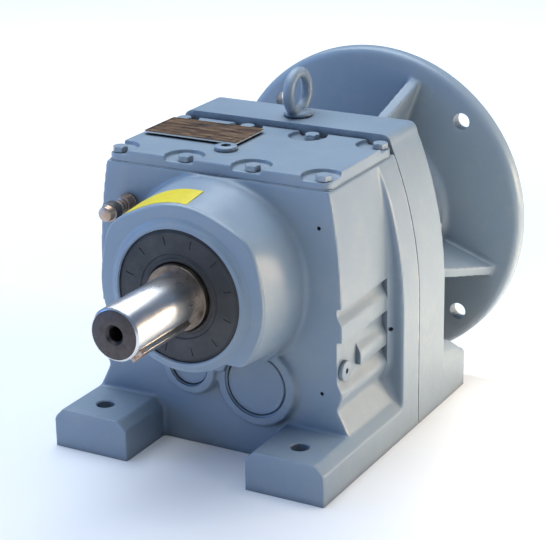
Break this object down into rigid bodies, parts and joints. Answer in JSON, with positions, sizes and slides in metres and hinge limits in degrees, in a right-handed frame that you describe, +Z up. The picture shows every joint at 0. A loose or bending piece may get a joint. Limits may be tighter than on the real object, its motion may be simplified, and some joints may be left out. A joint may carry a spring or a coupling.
{
  "type": "gear unit",
  "caption": "Foot-mounted helical gear unit with a keyed output shaft at the front and a round ribbed motor flange at the back.",
  "frame": {"origin": "centre of the four foot holes, on the base plane under the feet", "axes": "+Y from the output shaft towards the motor flange, along every shaft; +Z up from the base; +X to the right seen from the output shaft"},
  "size_m": [0.349, 0.516, 0.3636],
  "materials": {
    "machine_paint": "semi-gloss grey-blue enamel over cast iron",
    "bright_steel": "ground steel with a thin preservative film",
    "gear_steel": "oiled case-hardened steel",
    "seal_black": "matt dark grey rubber",
    "gasket": "matt black sealing sheet",
    "aged_brass": "dull brass",
    "plate_bronze": "brown etched plate with a pale edge",
    "label_yellow": "glossy yellow film"
  },
  "bodies": {
    "housing": {"adapter_bolt_1": "bright_steel", "adapter_bolt_2": "bright_steel", "adapter_bolt_3": "bright_steel", "adapter_bolt_4": "bright_steel", "adapter_housing": "machine_paint", "boss_label": "label_yellow", "breather_body": "aged_brass", "breather_cap": "aged_brass", "case_bolt_1": "machine_paint", "case_bolt_2": "machine_paint", "case_bolt_3": "machine_paint", "case_bolt_4": "machine_paint", "case_bolt_5": "machine_paint", "case_bolt_6": "machine_paint", "case_gasket": "gasket", "cover_bolt_1": "machine_paint", "cover_bolt_2": "machine_paint", "cover_bolt_3": "machine_paint", "cover_bolt_4": "machine_paint", "cover_bolt_5": "machine_paint", "cover_bolt_6": "machine_paint", "cover_bolt_7": "machine_paint", "cover_bolt_8": "machine_paint", "cover_gasket": "gasket", "cover_plug": "machine_paint", "eye_bolt": "machine_paint", "gear_case": "machine_paint", "input_flange": "machine_paint", "input_front_bearing_outer_race": "gear_steel", "input_rear_bearing_outer_race": "gear_steel", "input_seal": "seal_black", "inspection_cover": "machine_paint", "layshaft_bore_cap": "machine_paint", "layshaft_front_bearing_outer_race": "gear_steel", "layshaft_rear_bearing_outer_race": "gear_steel", "nameplate": "plate_bronze", "oil_drain_plug": "bright_steel", "oil_level_plug": "bright_steel", "output_front_bearing_outer_race": "gear_steel", "output_rear_bearing_outer_race": "gear_steel", "output_seal_cover": "seal_black", "rear_housing": "machine_paint", "spare_bore_cap": "machine_paint"},
    "output_rotor": {"output_shaft": "bright_steel", "output_key": "bright_steel", "output_gear": "gear_steel", "output_gear_key": "gear_steel", "output_spacer": "gear_steel", "output_front_bearing_inner_race": "gear_steel", "output_rear_bearing_inner_race": "gear_steel"},
    "layshaft_rotor": {"layshaft": "gear_steel", "layshaft_gear": "gear_steel", "layshaft_gear_key": "gear_steel", "layshaft_front_bearing_inner_race": "gear_steel", "layshaft_rear_bearing_inner_race": "gear_steel"},
    "input_rotor": {"input_shaft": "bright_steel", "input_pinion": "gear_steel", "coupling_hub": "bright_steel", "input_front_bearing_inner_race": "gear_steel", "input_rear_bearing_inner_race": "gear_steel"}
  },
  "joints": [
    {"name": "output_spin", "type": "hinge", "parent": "housing", "child": "output_rotor", "pos_m": [0, 0, 0.18], "axis": [0, 1, 0], "continuous": true},
    {"name": "layshaft_spin", "type": "hinge", "parent": "housing", "child": "layshaft_rotor", "pos_m": [0.04253, 0, 0.07639], "axis": [0, 1, 0], "continuous": true},
    {"name": "input_spin", "type": "hinge", "parent": "housing", "child": "input_rotor", "pos_m": [0, 0, 0.154], "axis": [0, 1, 0], "continuous": true}
  ],
  "couplings": [
    {"joint": "layshaft_spin", "follows": "output_spin", "ratio": -2.7647},
    {"joint": "input_spin", "follows": "output_spin", "ratio": 6.8304}
  ]
}
